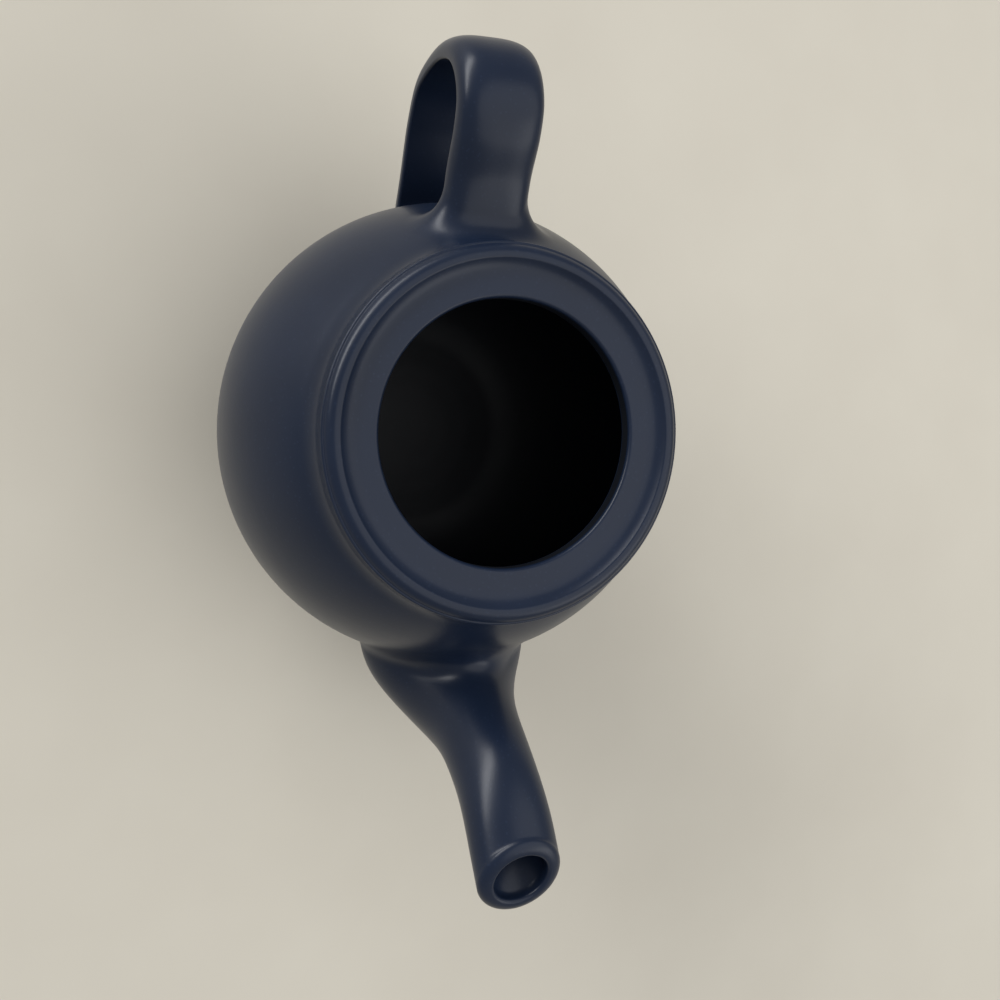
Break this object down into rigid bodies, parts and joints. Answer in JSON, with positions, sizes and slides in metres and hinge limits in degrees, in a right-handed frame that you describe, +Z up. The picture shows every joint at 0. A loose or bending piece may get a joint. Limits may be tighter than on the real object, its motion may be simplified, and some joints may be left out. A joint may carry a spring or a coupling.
{
  "type": "ceramic teapot",
  "caption": "Round glazed ceramic teapot without its lid, with a wide collared mouth, a curved spout and a broad strap handle.",
  "frame": {"origin": "middle of the pot's length and width, on the surface that the foot ring stands on", "axes": "+Z up along the pot's axis, +X from the handle towards the spout"},
  "size_m": [0.224, 0.13, 0.1051],
  "materials": {
    "glaze": "satin dark blue-black glaze",
    "inside_glaze": "satin dark glaze",
    "bare_clay": "matte unglazed stoneware"
  },
  "bodies": {
    "root": {"body_shell": "glaze", "foot_ring": "bare_clay", "rim_collar": "glaze", "lid_seat": "glaze", "strainer_plate": "inside_glaze", "spout_tube": "glaze", "spout_fillet": "glaze", "handle_strap": "glaze", "handle_fillet_top": "glaze", "handle_fillet_low": "glaze"}
  },
  "joints": []
}
